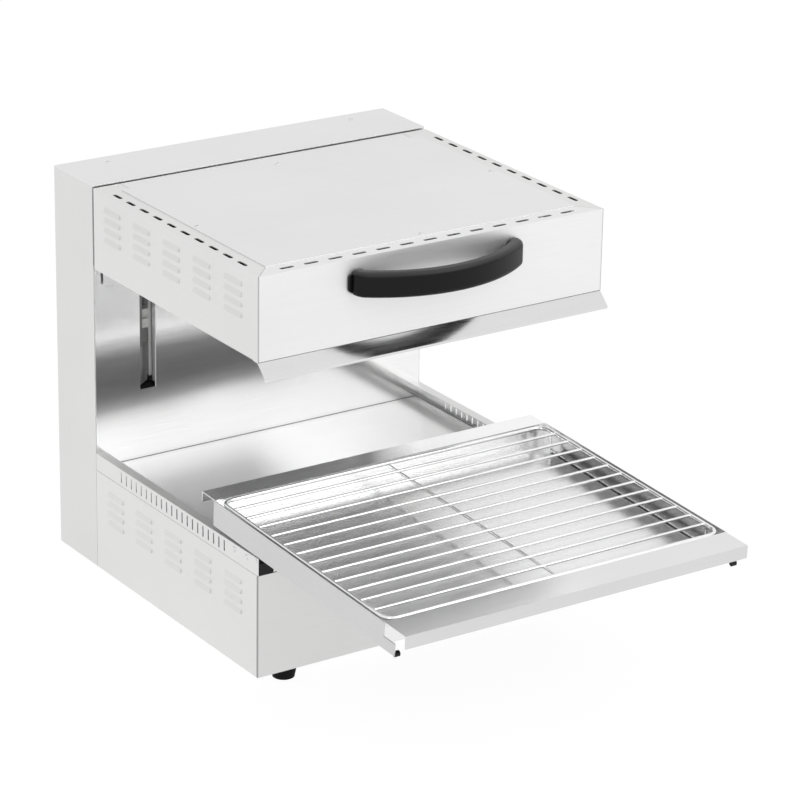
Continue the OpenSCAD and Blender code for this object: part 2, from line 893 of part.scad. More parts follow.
// Back sheet of the hood, with the skirt below and a rim strip on top
module hood_back() {
    color(steel) {
        box([-x_out, y_hood - sheet, z_hood], [x_out, y_hood, z_rim]);
        box([-x_out + skirt_inset, y_hood - sheet, z_hood - skirt_h],
            [x_out - skirt_inset, y_hood, z_rim]);
        box([-x_out + rim_w + seam, y_hood - sheet - rim_w, z_rim - sheet],
            [x_out - rim_w - seam, y_hood, z_rim]);
    }
}

function cover_screw_places() = [
    [-x_out + rim_seen + cover_screw_inset, y_hood - cover_screw_y],
    [x_out - rim_seen - cover_screw_inset, y_hood - cover_screw_y],
    [0, y_hood - rim_seen - cover_screw_inset],
    [0, y_front + rim_seen + cover_screw_inset]
];

// Cover in the middle of the hood's top, screwed down on the rim
module hood_cover() {
    color(steel)
        difference() {
            box([-x_out + rim_seen, y_front + rim_seen, z_rim],
                [x_out - rim_seen, y_hood - rim_seen, z_cover]);
            for (p = cover_screw_places())
                translate([p[0], p[1], z_rim - over])
                    cylinder(r = screw_d / 2 + run_gap, h = cover_t + 2 * over);
        }
}

// Low-headed screws of the hood's cover, down to the rim
module cover_screws() {
    color(steel)
        for (p = cover_screw_places())
            translate([p[0], p[1], z_cover])
                screw(screw_d, cover_t, screw_head_d, screw_head_h);
}

// Slanted lip under the hood's front
module heat_deflector() {
    y0 = y_front;
    z0 = z_hood;
    color(steel)
        profile_x(-x_out, x_out)
            polygon([
                [y0 + deflector_tab, z0], [y0 + sheet, z0], [y0 + seam, z0 - open_seam],
                [y0 - deflector_out, z0 - deflector_drop],
                [y0 - deflector_out, z0 - deflector_drop - deflector_hem],
                [y0 - deflector_out + sheet, z0 - deflector_drop - deflector_hem],
                [y0 - deflector_out + sheet, z0 - deflector_drop],
                [y0 + sheet + open_seam, z0 - sheet], [y0 + deflector_tab, z0 - sheet]
            ]);
}

function element_places() = [
    for (s = [-1, 1], i = [0, element_runs - 1]) s * (element_x + i * element_pitch)
];

// Mirror-finished pan above the elements
module hood_reflector() {
    x1 = x_in - reflector_inset;
    y0 = y_front + sheet + reflector_inset;
    y1 = y_hood - sheet - reflector_inset;
    z0 = z_hood + sheet;
    z1 = z_hood + reflector_up;
    color(bright)
        difference() {
            box([-x1, y0, z0], [x1, y1, z1]);
            box([-x1 + reflector_t, y0 + reflector_t, z0 - over],
                [x1 - reflector_t, y1 - reflector_t, z1 - reflector_t]);
            for (x = element_places())
                translate([x, y_hood - element_run_back + element_lead, z1 - reflector_t - over])
                    cylinder(r = element_d / 2 + slide_gap, h = reflector_t + 2 * over);
        }
}

// Tube of one heating zone, bent back and forth, on the right of the centre plane
module heating_element() {
    run = base_d - hood_gap - element_run_front - element_run_back;
    last = (element_runs - 1) * element_pitch;
    color(iron)
        translate([element_x, y_hood - element_run_back, z_hood + element_up])
            union() {
                for (i = [0 : element_runs - 1])
                    translate([i * element_pitch, 0, 0]) rod_y(element_d / 2, -run, 0);
                for (i = [0 : element_runs - 2])
                    translate([(i + 0.5) * element_pitch, i % 2 == 0 ? -run : 0, 0])
                        rotate([0, 0, i % 2 == 0 ? 180 : 0])
                            rotate_extrude(angle = 180)
                                translate([element_pitch / 2, 0]) circle(r = element_d / 2);
                for (x = [0, last])
                    translate([x, 0, 0]) element_end();
            }
}

// Straight lead of an element with its rise to the terminals
module element_end() {
    flat = element_lead - element_rise_r;
    rod_y(element_d / 2, 0, flat);
    translate([0, flat, element_rise_r])
        rotate([0, 90, 0])
            rotate_extrude(angle = 90) translate([element_rise_r, 0]) circle(r = element_d / 2);
    translate([0, element_lead, element_rise_r]) cylinder(r = element_d / 2, h = element_rise);
}

// Strips that hang the elements from the reflector
module element_holders() {
    z = z_hood + element_up;
    y0 = y_front + element_run_front;
    y1 = y_hood - element_run_back;
    color(steel)
        both_sides()
            for (k = holder_shares)
                difference() {
                    box([element_x - holder_edge, y0 + k * (y1 - y0), z - element_d / 2 - holder_drop],
                        [element_x + (element_runs - 1) * element_pitch + holder_edge,
                         y0 + k * (y1 - y0) + holder_t, z_hood + reflector_up - reflector_t]);
                    for (i = [0 : element_runs - 1])
                        translate([element_x + i * element_pitch, 0, z])
                            rod_y(element_d / 2 + run_gap, y0 + k * (y1 - y0) - over,
                                  y0 + k * (y1 - y0) + holder_t + over);
                }
}

// Bowed grip of black plastic: a wide arc with a tighter bend at each end
module hood_handle() {
    color(dark)
        difference() {
            translate([0, bow_y, z_hood + grip_up])
                both_sides() rotate([0, 0, 270 + bow_turn]) half_bow();
            for (s = [-1, 1])
                translate([s * bow_half, 0, z_hood + grip_up])
                    rod_y(handle_screw_r + run_gap, y_front - spacer_t - handle_screw_in, y_front);
        }
}

// Right half of the bow, from where its two arcs meet, around the wide arc's centre
module half_bow() {
    mirror([0, 1, 0])
        rotate_extrude(angle = bow_turn)
            translate([bow_r, 0]) round_rect(grip_d, grip_h, grip_round);
    translate([bow_r - bow_end_r, 0, 0])
        rotate_extrude(angle = 90 - bow_turn)
            translate([bow_end_r, 0]) round_rect(grip_d, grip_h, grip_round);
}

// Spacers between the grip's ends and the hood
module handle_spacers() {
    color(dark)
        for (s = [-1, 1])
            difference() {
                translate([s * (bow_half + spacer_over / 2), y_front, z_hood + grip_up])
                    rotate([90, 0, 0])
                        linear_extrude(spacer_t)
                            round_rect(grip_d + spacer_over, spacer_h, spacer_round);
                translate([s * bow_half, 0, z_hood + grip_up])
                    rod_y(handle_screw_r + run_gap, y_front - spacer_t - over, y_front + over);
            }
}

// Screws that hold the handle from inside the hood
module handle_screws() {
    color(iron)
        for (s = [-1, 1])
            translate([s * bow_half, 0, z_hood + grip_up]) {
                rod_y(handle_screw_r, y_front - spacer_t - handle_screw_in + slide_gap,
                      y_front + sheet + handle_screw_head_h);
                rod_y(handle_screw_head_r, y_front + sheet, y_front + sheet + handle_screw_head_h);
            }
}

// Left carriage: an arm through the tower's slot and a plate beside the guide channel
module carriage() {
    x0 = -plate_x;
    x1 = -plate_x + plate_t;
    yb = y_tower + plate_back;
    ym = y_tower + sheet + plate_in;
    color(iron) {
        profile_x(x0, x1)
            polygon([
                [y_hood, z_hood + arm_low], [ym, z_hood + arm_low], [ym, z_hood - plate_drop],
                [yb, z_hood - plate_drop], [yb, lug_z], [pulley_y + lug_w / 2, lug_z],
                [pulley_y + lug_w / 2, lug_z + lug_h], [yb, lug_z + lug_h],
                [yb, z_rim - arm_top], [y_hood, z_rim - arm_top]
            ]);
        box([x0, pulley_y - lug_w / 2, lug_z + lug_h - lug_w],
            [x0 + lug_l, pulley_y + lug_w / 2, lug_z + lug_h]);
        box([x0, channel_y + channel_t + slide_gap, z_hood - plate_drop],
            [-channel_x - channel_t - slide_gap, channel_y + channel_d - channel_t - slide_gap,
             z_hood - plate_drop + glide_low_up]);
    }
}

// Nylon blocks that run in the guide channels
module carriage_glides() {
    y0 = channel_y + channel_t + slide_gap;
    y1 = channel_y + channel_d - channel_t - slide_gap;
    z_low = z_hood - plate_drop + glide_low_up;
    z_high = z_rim - arm_top - glide_high_drop;
    color(nylon)
        both_sides() {
            carriage_glide(y0, y1, z_low, glide_low_h);
            carriage_glide(y0, y1, z_high, glide_high_h);
        }
}

module carriage_glide(y0, y1, z, h) {
    x0 = -plate_x + plate_t;
    x1 = -channel_x - channel_t - slide_gap;
    groove_z = z + glide_groove_up;
    difference() {
        box([x0, y0, z], [x1, y1, z + h]);
        box([x0 + over, y0 - over, groove_z - glide_groove / 2],
            [x1 - over, y0 + glide_groove, groove_z + glide_groove / 2]);
    }
}

// Cast counterweight with bores for its guide rods and anchors for the cables
module counterweight() {
    x1 = weight_cable_x + weight_side;
    z0 = z_base + weight_up;
    color(iron)
        difference() {
            union() {
                box([-x1, pulley_y - weight_t / 2, z0], [x1, pulley_y + weight_t / 2, z0 + weight_h]);
                for (s = [-1, 1])
                    translate([s * weight_cable_x, pulley_y, z0 + weight_h - anchor_r])
                        cylinder(r = anchor_r, h = anchor_h + anchor_r);
            }
            for (s = [-1, 1])
                translate([s * rod_x, pulley_y, z0 - over])
                    cylinder(r = rod_r + slide_gap, h = weight_h + 2 * over);
        }
}

// Grooved pulley on its axle, for the side given by s
module pulley(s) {
    w = pulley_w / 2;
    g = cable_r + groove_gap;
    color(nylon)
        translate([s * pulley_x, pulley_y, pulley_z])
            rotate([90, 0, 0])
                rotate_extrude()
                    polygon([
                        [axle_r + run_gap, -w], [boss_r, -w], [boss_r, -w + g],
                        [pulley_r - g, -w + g], [pulley_r - g, -w], [pulley_r + pulley_lip, -w],
                        [pulley_r + pulley_lip, -w + g], [pulley_r, -g], [pulley_r, g],
                        [pulley_r + pulley_lip, w - g], [pulley_r + pulley_lip, w],
                        [pulley_r - g, w], [pulley_r - g, w - g], [boss_r, w - g], [boss_r, w],
                        [axle_r + run_gap, w]
                    ]);
}

// Nylon glides at the front ends of the rails, on which the tray rocks and slides
module tray_glides() {
    color(dark)
        both_sides()
            translate([0, glide_y, glide_z]) {
                rod_x_dir(glide_r, -x_in + glide_side, -x_in + glide_side + glide_l);
                rod_x_dir(glide_pin_r, -x_out, -x_in + glide_side + glide_pin_r);
            }
}

// Its children from the tray's level frame to the drooping tray
module on_tray() {
    translate([0, glide_y, glide_z]) rotate([tray_tilt, 0, 0]) children();
}

// Floor, front and rear walls and flanges of the tray, folded from one sheet
module tray_pan() {
    t = tray_t;
    z0 = plate_low + tray_floor_up;
    yf = tray_y_front;
    yr = tray_y_rear;
    color(bright)
        on_tray() {
            profile_x(-tray_x, tray_x)
                polygon([
                    [yf, z0], [yr, z0], [yr, tray_top - t],
                    [yr + tray_rear_flange - t, tray_top - t], [yr + tray_rear_flange, tray_top],
                    [yr - t, tray_top], [yr - t, z0 + t], [yf + t, z0 + t], [yf + t, tray_top],
                    [yf - tray_front_flange, tray_top], [yf - tray_front_flange + t, tray_top - t],
                    [yf, tray_top - t]
                ]);
            tray_lip(yr + tray_rear_flange - t, yr + tray_rear_flange, rear_lip);
            tray_lip(yf - tray_front_flange, yf - tray_front_flange + t, front_lip);
        }
}

// Turned-down lip of a tray flange, with its lower corners cut off
module tray_lip(y0, y1, h) {
    profile_y(y0, y1)
        polygon([
            [-tray_x, tray_top], [tray_x, tray_top], [tray_x, tray_top - h + lip_cut / 2],
            [tray_x - lip_cut / 2, tray_top - h], [-tray_x + lip_cut / 2, tray_top - h],
            [-tray_x, tray_top - h + lip_cut / 2]
        ]);
}

// Left side plate of the tray: it slides on the rail and runs on as a tongue
module tray_side() {
    yf = tray_y_front;
    color(bright)
        on_tray()
            profile_x(-tray_x - tray_t, -tray_x)
                polygon([
                    [tray_y_rear, plate_low], [tray_y_rear, tray_top], [yf, tray_top],
                    [yf, plate_low + tongue_h], [yf - tongue_l, plate_low + tongue_h],
                    [yf - tongue_l, plate_low]
                ]);
}

// Sleeved pins at the front of the tongues
module tray_pins() {
    color(dark)
        on_tray()
            both_sides()
                translate([0, tray_y_front - tongue_l + tray_pin_back, plate_low + tray_pin_up])
                    rod_x_dir(tray_pin_r, -tray_x, -tray_x + tray_pin_l);
}

// Wire frame of the grid with its cross bars and the centre rod under them
module grid_frame() {
    r = frame_wire / 2;
    pitch = (grid_y1 - grid_y0) / (grid_bars + 1);
    color(bright)
        on_tray() {
            wire_frame(grid_x, grid_y0, grid_y1, grid_round, r, grid_z);
            for (i = [1 : grid_bars])
                translate([0, grid_y0 + i * pitch, grid_z + r - bar_wire / 2])
                    rod_x_dir(bar_wire / 2, -grid_x, grid_x);
            translate([0, 0, grid_z + r - bar_wire]) rod_y(bar_wire / 2, grid_y0, grid_y1);
        }
}

// A closed wire with round corners in a level plane
module wire_frame(x, y0, y1, round, r, z) {
    for (s = [-1, 1])
        translate([s * x, 0, z]) rod_y(r, y0 + round, y1 - round);
    for (y = [y0, y1])
        translate([0, y, z]) rod_x_dir(r, -x + round, x - round);
    for (q = [[1, 1, 0], [-1, 1, 90], [-1, -1, 180], [1, -1, 270]])
        translate([q[0] * (x - round), q[1] > 0 ? y1 - round : y0 + round, z])
            rotate([0, 0, q[2]])
                rotate_extrude(angle = 90) translate([round, 0]) circle(r = r);
}

// Wire loops under the frame's sides that stand on the tray's floor
module grid_legs() {
    r = leg_wire / 2;
    x = grid_x - leg_inset;
    z0 = tray_floor_top + rest_gap + r;
    z1 = grid_z - frame_wire / 2;
    y0 = grid_y0 + leg_end_inset;
    y1 = grid_y1 - leg_end_inset;
    bend = 2 * leg_wire;
    color(bright)
        on_tray()
            both_sides() {
                translate([x, 0, z0]) rod_y(r, y0 + bend, y1 - bend);
                for (e = [[y0, 1], [y1, -1]]) {
                    translate([x, e[0], z0 + bend]) cylinder(r = r, h = z1 - z0 - bend);
                    translate([x, e[0] + e[1] * bend, z0 + bend])
                        rotate([e[1] > 0 ? 270 : 0, 0, 0])
                            rotate([0, 90, 0])
                                rotate_extrude(angle = 90) translate([bend, 0]) circle(r = r);
                }
            }
}

// Control knob with a pointer bar, and its shaft into the regulator
module knob(i) {
    y1 = y_front - bush_out - knob_gap;
    y0 = y1 - knob_h;
    grip_r = knob_d / 2 * knob_grip_share;
    color(dark)
        translate([knob_x[i], 0, z_base + knob_up]) {
            translate([0, y1, 0])
                rotate([90, 0, 0])
                    rotate_extrude()
                        polygon([
                            [0, 0], [knob_d / 2, 0], [knob_d / 2, knob_skirt_h],
                            [grip_r + pointer_h / 2, knob_skirt_h], [grip_r, knob_h], [0, knob_h]
                        ]);
            box([-pointer_w / 2, y0 - pointer_h, -grip_r], [pointer_w / 2, y0 + pointer_h, grip_r]);
            rod_y(shaft_r, y1 - knob_skirt_h / 2, y1 + shaft_l);
        }
}

base_side();  // base_side_left
mirror([1, 0, 0]) base_side();  // base_side_right
base_front();
base_bottom();
floor_plate();
tray_rail();  // tray_rail_left
mirror([1, 0, 0]) tray_rail();  // tray_rail_right
rail_rivets();
rail_end_blocks();
tower_side();  // tower_side_left
mirror([1, 0, 0]) tower_side();  // tower_side_right
tower_top();
tower_front_panel();
tower_back_panel();
casing_screws();
guide_rail();  // guide_rail_left
mirror([1, 0, 0]) guide_rail();  // guide_rail_right
pulley_beam();
pulley_axles();
weight_guide_rods();
cable_hood_side();
cable_weight_side();
cable_over_pulleys();
energy_regulators();
pilot_lamps();
terminal_block();
cord_gland();
foot(0);  // foot_front_left
foot(1);  // foot_front_right
foot(2);  // foot_rear_left
foot(3);  // foot_rear_right
hood_side();  // hood_side_left
mirror([1, 0, 0]) hood_side();  // hood_side_right
hood_front();
hood_back();
hood_cover();
cover_screws();
heat_deflector();
hood_reflector();
mirror([1, 0, 0]) heating_element();  // heating_element_left
heating_element();  // heating_element_right
element_holders();
hood_handle();
handle_spacers();
handle_screws();
carriage();  // carriage_left
mirror([1, 0, 0]) carriage();  // carriage_right
carriage_glides();
counterweight();
pulley(-1);  // pulley_left
pulley(1);  // pulley_right
tray_glides();
tray_pan();
tray_side();  // tray_side_left
mirror([1, 0, 0]) tray_side();  // tray_side_right
tray_pins();
grid_frame();
grid_legs();
knob(0);  // knob_left
knob(1);  // knob_right
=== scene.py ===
import math

import bmesh
import bpy
from mathutils import Matrix, Vector


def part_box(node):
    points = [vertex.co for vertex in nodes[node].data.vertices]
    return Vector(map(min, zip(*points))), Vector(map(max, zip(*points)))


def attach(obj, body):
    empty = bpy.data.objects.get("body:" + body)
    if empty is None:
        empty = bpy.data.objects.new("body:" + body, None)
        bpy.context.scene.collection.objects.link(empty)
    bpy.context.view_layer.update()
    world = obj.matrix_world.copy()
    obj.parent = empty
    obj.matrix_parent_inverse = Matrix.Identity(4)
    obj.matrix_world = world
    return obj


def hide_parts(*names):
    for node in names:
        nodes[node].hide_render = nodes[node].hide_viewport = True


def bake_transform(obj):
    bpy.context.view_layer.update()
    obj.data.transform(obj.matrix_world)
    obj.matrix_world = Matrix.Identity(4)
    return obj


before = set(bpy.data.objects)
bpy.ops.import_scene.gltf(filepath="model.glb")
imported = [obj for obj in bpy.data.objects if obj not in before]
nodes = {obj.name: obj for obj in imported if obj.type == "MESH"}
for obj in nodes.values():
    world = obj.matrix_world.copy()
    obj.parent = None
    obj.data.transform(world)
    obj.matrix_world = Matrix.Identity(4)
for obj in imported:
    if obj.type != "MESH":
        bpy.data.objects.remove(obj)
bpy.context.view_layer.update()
scene = bpy.context.scene

# Camera: the photograph's view, with its slight roll, in degrees, metres and pixels
AZIMUTH = -34.05
ELEVATION = 21.14
ROLL = 1.0
DISTANCE = 4.6287
TARGET = (0.2081, 0.283117, 0.1452)
FOCAL_PX = 3600
PHOTO_PX = 800
SENSOR_MM = 36
CLIP_NEAR = 0.1
CLIP_FAR = 60


def set_camera():
    az, el, ro = (math.radians(v) for v in (AZIMUTH, ELEVATION, ROLL))
    back = Vector((math.sin(az) * math.cos(el), -math.cos(az) * math.cos(el), math.sin(el)))
    level = Vector((math.cos(az), math.sin(az), 0))
    upright = back.cross(level)
    right = level * math.cos(ro) + upright * math.sin(ro)
    up = upright * math.cos(ro) - level * math.sin(ro)
    data = bpy.data.cameras.new("camera")
    data.sensor_width = SENSOR_MM
    data.lens = FOCAL_PX / PHOTO_PX * SENSOR_MM
    data.clip_start = CLIP_NEAR
    data.clip_end = CLIP_FAR
    cam = bpy.data.objects.new("camera", data)
    place = Vector(TARGET) + back * DISTANCE
    m = Matrix.Identity(4)
    for i, v in enumerate((right, up, back, place)):
        for j in range(3):
            m[j][i] = v[j]
    cam.matrix_world = m
    scene.collection.objects.link(cam)
    scene.camera = cam


set_camera()

# Node trees
# The Mix node's sockets: its factor, then two inputs and an output for numbers and for colours
MIX_FACTOR = 0
MIX_NUMBERS = (2, 3, 0)
MIX_COLOURS = (6, 7, 2)
# Most of a noise's values lie between these two
NOISE_LOW = 0.3
NOISE_HIGH = 0.7
CREASE_SAMPLES = 6


class Tree:
    """A node tree, with short calls for its nodes and links."""

    def __init__(self, tree):
        self.tree = tree

    def node(self, kind, **values):
        n = self.tree.nodes.new(kind)
        for key, value in values.items():
            if hasattr(n, key):
                setattr(n, key, value)
            else:
                n.inputs[key].default_value = value
        return n

    def link(self, a, b):
        self.tree.links.new(a, b)


class Graph(Tree):
    """A material's node tree around its Principled BSDF, with the patterns used here."""

    def __init__(self, name):
        self.mat = bpy.data.materials.new(name)
        self.mat.use_nodes = True
        super().__init__(self.mat.node_tree)
        self.bsdf = self.tree.nodes["Principled BSDF"]
        where = self.node("ShaderNodeTexCoord")
        self.place = where.outputs["Object"]
        self.normal = where.outputs["Normal"]

    def noise(self, scale, stretch=(1, 1, 1), detail=3.0, rough=0.5):
        mapping = self.node("ShaderNodeMapping", Scale=stretch)
        self.link(self.place, mapping.inputs["Vector"])
        n = self.node("ShaderNodeTexNoise", Scale=scale, Detail=detail, Roughness=rough)
        self.link(mapping.outputs["Vector"], n.inputs["Vector"])
        return n.outputs["Fac"]

    def spread(self, value, low, high, a=NOISE_LOW, b=NOISE_HIGH):
        """Carries the value's span from a to b over to the span from low to high."""
        n = self.node("ShaderNodeMapRange")
        for key, v in (("From Min", a), ("From Max", b), ("To Min", low), ("To Max", high)):
            n.inputs[key].default_value = v
        self.link(value, n.inputs["Value"])
        return n.outputs["Result"]

    def between(self, value, colour_a, colour_b, a=NOISE_LOW, b=NOISE_HIGH):
        """Fades from one colour to the other while the value goes from a to b."""
        ramp = self.node("ShaderNodeValToRGB")
        for element, at, colour in zip(ramp.color_ramp.elements, (a, b), (colour_a, colour_b)):
            element.position = at
            element.color = (*colour, 1)
        self.link(value, ramp.inputs["Fac"])
        return ramp.outputs["Color"]

    def mix(self, one, two, share, sockets, **values):
        a, b, result = sockets
        n = self.node("ShaderNodeMix", **values)
        n.inputs[MIX_FACTOR].default_value = share
        self.link(one, n.inputs[a])
        self.link(two, n.inputs[b])
        return n.outputs[result]

    def mean(self, one, two, share):
        return self.mix(one, two, share, MIX_NUMBERS)

    def times(self, colour, factor):
        return self.mix(colour, factor, 1.0, MIX_COLOURS, data_type="RGBA", blend_type="MULTIPLY")

    def part_of(self, vector, axis):
        split = self.node("ShaderNodeSeparateXYZ")
        self.link(vector, split.inputs[0])
        return split.outputs[axis]

    def painted_crease_shade(self, colour, dark, reach, a, b):
        """The colour with painted shade in seams and corners narrower than reach."""
        near = self.node("ShaderNodeAmbientOcclusion", samples=CREASE_SAMPLES, Distance=reach)
        return self.times(colour, self.spread(near.outputs["AO"], dark, 1.0, a, b))

    def painted_facing_shade(self, colour, axis, dark, a, b):
        """The colour with painted shade where the surface's normal goes from b to a along an
        axis.
        """
        return self.times(colour, self.spread(self.part_of(self.normal, axis), dark, 1.0, a, b))

    def painted_place_shade(self, colour, axis, dark, a, b):
        """The colour with painted shade where the place goes from b to a along an axis."""
        return self.times(colour, self.spread(self.part_of(self.place, axis), dark, 1.0, a, b))

    def painted_fold_shade(self, colour, dark, a, b):
        """The colour with painted shade along the upright folds, further from the centre plane
        than a.
        """
        out = self.node("ShaderNodeMath", operation="ABSOLUTE")
        self.link(self.part_of(self.place, "X"), out.inputs[0])
        return self.times(colour, self.spread(out.outputs[0], 1.0, dark, a, b))

    def bump(self, value, strength, distance):
        n = self.node("ShaderNodeBump", Strength=strength, Distance=distance)
        self.link(value, n.inputs["Height"])
        self.link(n.outputs["Normal"], self.bsdf.inputs["Normal"])


# Materials
# Painted shade in creases: darkest factor, reach in metres, and the openness where the painted
# shade starts and ends; for sheet seams, open gaps, the base's inside and the hood's inside
SEAM = (0.2, 0.0015, 0.05, 0.5)
GAP = (0.1, 0.004, 0.1, 0.8)
RECESS = (0.05, 0.025, 0.1, 0.6)
CAVITY = (0.05, 0.12, 0.1, 0.8)
# Painted shade along the folds: factor, and where it starts and is full, in the front sheets'
# outermost millimetre
FOLD_SHADE = (0.55, 0.2362, 0.2368)
# Painted shade by place: axis, factor, where it is full and where it ends; for the upper part of
# the tower's front panel, a painted reflection of the hood above it, and for the tray's front
# flange
TOWER_TOP_SHADE = ("Z", 0.77, 0.34, 0.27)
FLANGE_SHADE = ("Y", 0.82, -0.3514, -0.3508)
# Painted shade by direction: axis, factor, where it is full and where it ends; for the tray's
# faces that look down and those that look to the front
UNDERSIDE_SHADE = ("Z", 0.2, -0.8, -0.4)
FRONTAL_SHADE = ("Y", 0.86, -0.9, -0.5)
# Painted shade by direction, the same without the axis, for the wires' undersides and for the
# handle except its upper face
WIRE_UNDERSIDE_SHADE = (0.35, -0.5, 0.1)
HANDLE_SHADE_BUT_TOP = (0.02, 0.2, 0.8)

# Brushed sheet: scales of its noises, how far the brush draws them out, and their shares
FINE_LINES = 1400
WIDE_LINES = 240
CLOUDS = 5
ALONG_GRAIN = 0.02
WIDE_SHARE = 0.4
CLOUD_SHARE = 0.5
TONE_LOW = 0.35
TONE_HIGH = 0.65
BRUSH_DEPTH = 0.00006

# Cast surface: scale of its broad noise, that noise's share, and the roughness's variation
BROAD = 30
BROAD_SHARE = 0.5
ROUGH_SPAN = 0.06


def shade(colour, by):
    return tuple(min(1.0, c * by) for c in colour)


def steel(name, colour, rough, grain, depth=0.25, cloud=0.03, metallic=1.0, crease=SEAM,
          painted_facing_shade=(), painted_place_shade=(), painted_fold_shade=(), streak=0.055):
    """Brushed sheet: grain is the axis along which the brush ran. Its crease, direction, place
    and fold arguments add painted shade.
    """
    g = Graph(name)
    g.bsdf.inputs["Metallic"].default_value = metallic
    stretch = tuple(ALONG_GRAIN if axis == grain else 1.0 for axis in "XYZ")
    lines = g.noise(FINE_LINES, stretch, detail=2.0)
    wide = g.noise(WIDE_LINES, stretch)
    brushed = g.mean(lines, wide, WIDE_SHARE)
    clouds = g.noise(CLOUDS, detail=2.0)
    tone = g.mean(brushed, clouds, CLOUD_SHARE)
    sheet = g.between(tone, shade(colour, 1 - cloud), shade(colour, 1 + cloud),
                      TONE_LOW, TONE_HIGH)
    sheet = g.painted_crease_shade(sheet, *crease)
    for values in painted_facing_shade:
        sheet = g.painted_facing_shade(sheet, *values)
    for values in painted_place_shade:
        sheet = g.painted_place_shade(sheet, *values)
    for values in painted_fold_shade:
        sheet = g.painted_fold_shade(sheet, *values)
    g.link(sheet, g.bsdf.inputs["Base Color"])
    g.link(g.spread(brushed, rough - streak, rough + streak), g.bsdf.inputs["Roughness"])
    g.bump(brushed, depth, BRUSH_DEPTH)
    return g.mat


def cast(name, colour, rough, scale, depth, distance=0.0002, metallic=0.0, vary=0.15,
         specular=0.5, shade_below=None):
    """Moulded or cast surface with an even fine texture, and, if given, painted shade on faces by
    how far they look down.
    """
    g = Graph(name)
    g.bsdf.inputs["Metallic"].default_value = metallic
    g.bsdf.inputs["Specular IOR Level"].default_value = specular
    fine = g.noise(scale, detail=4.0, rough=0.6)
    broad = g.noise(BROAD)
    tone = g.between(g.mean(fine, broad, BROAD_SHARE),
                     shade(colour, 1 - vary), shade(colour, 1 + vary))
    if shade_below:
        tone = g.painted_facing_shade(tone, "Z", *shade_below)
    g.link(tone, g.bsdf.inputs["Base Color"])
    g.link(g.spread(fine, rough - ROUGH_SPAN, rough + ROUGH_SPAN), g.bsdf.inputs["Roughness"])
    g.bump(fine, depth, distance)
    return g.mat


# The satin sheets are one steel. Their tones differ by face and height, the hood's front lightest
# and the base's front and bottom darkest, to stand for how the light falls: painted light and
# shade.
SATIN = {"rough": 0.42, "metallic": 0.75}
SATIN_Y = steel("satin_steel_y", (0.83, 0.83, 0.825), grain="Y", **SATIN)
SATIN_Z = steel("satin_steel_z", (0.80, 0.80, 0.795), grain="Z", **SATIN)
SATIN_X = steel("satin_steel_x", (0.86, 0.86, 0.86), grain="X", **SATIN)
SATIN_LOW = steel("satin_steel_low", (0.79, 0.79, 0.785), grain="X", **SATIN)
FRONT_X = steel("front_steel_x", (0.885, 0.885, 0.885), grain="X", crease=GAP,
                painted_fold_shade=(FOLD_SHADE,), **SATIN)
FRONT_LOW = steel("front_steel_low", (0.79, 0.79, 0.785), grain="X", crease=GAP,
                  painted_fold_shade=(FOLD_SHADE,), **SATIN)
FLOOR_SHEET = steel("floor_steel_x", (0.93, 0.93, 0.93), rough=0.2, grain="X", depth=0.05,
                    metallic=0.55, crease=RECESS, streak=0.03)
REFLECTOR = steel("reflector_steel_x", (0.80, 0.80, 0.80), rough=0.13, grain="X", depth=0.12,
                  crease=CAVITY)
POLISH_X = steel("polished_steel_x", (0.89, 0.89, 0.89), rough=0.12, grain="X", depth=0.1,
                 cloud=0.04, painted_place_shade=(TOWER_TOP_SHADE,), streak=0.03)
LIP = steel("lip_steel_x", (0.72, 0.72, 0.72), rough=0.14, grain="X", depth=0.1, crease=GAP)
# The tray's pan and side plates are one steel: the plates' darker tone is painted shade, and the
# pan takes painted shade on faces that look down or to the front and on its front flange.
TRAY = steel("tray_steel", (0.97, 0.97, 0.97), rough=0.24, grain="X", depth=0.02, cloud=0.02,
             painted_facing_shade=(UNDERSIDE_SHADE, FRONTAL_SHADE), painted_place_shade=(FLANGE_SHADE,), streak=0.03)
PLATE = steel("plate_steel_y", (0.64, 0.64, 0.64), rough=0.3, grain="Y", depth=0.12,
              metallic=0.9)
ZINC = steel("zinc_steel", (0.70, 0.71, 0.72), rough=0.45, grain="Z", depth=0.3, cloud=0.08,
             metallic=0.9)
SCREW = cast("screw_steel", (0.80, 0.80, 0.80), rough=0.3, scale=900, depth=0.05,
             distance=0.0001, metallic=0.8, vary=0.04)
# The guide rails' near-white colour with little metal is painted light, for their edges lit
# inside the shaded tower.
CHANNEL = steel("channel_steel", (0.95, 0.95, 0.95), rough=0.4, grain="Z", depth=0.2,
                metallic=0.15)
# Near-white with little metal: painted light on the lit edges of the slots' returns.
LIT_STRIP_STEEL = steel("lit_strip_steel_z", (0.93, 0.93, 0.93), rough=0.3, grain="Z", depth=0.1,
             metallic=0.35)
WIRE = cast("plated_wire", (0.90, 0.90, 0.90), rough=0.12, scale=900, depth=0.05,
            distance=0.0001, metallic=1.0, vary=0.03, shade_below=WIRE_UNDERSIDE_SHADE)
ROPE = cast("wire_rope", (0.45, 0.45, 0.45), rough=0.4, scale=1500, depth=0.5,
            distance=0.0003, metallic=1.0)
SHEATH = cast("element_sheath", (0.16, 0.16, 0.155), rough=0.5, scale=600, depth=0.25,
              metallic=0.8, vary=0.25)
DARK_STEEL = cast("dark_steel", (0.26, 0.26, 0.26), rough=0.45, scale=700, depth=0.2,
                  metallic=0.3)
IRON = cast("cast_iron", (0.10, 0.10, 0.105), rough=0.6, scale=300, depth=0.6,
            distance=0.0006, metallic=0.5, vary=0.3)
HANDLE = cast("black_handle", (0.052, 0.052, 0.0525), rough=0.42, scale=1300, depth=0.12,
              specular=0.22, shade_below=HANDLE_SHADE_BUT_TOP)
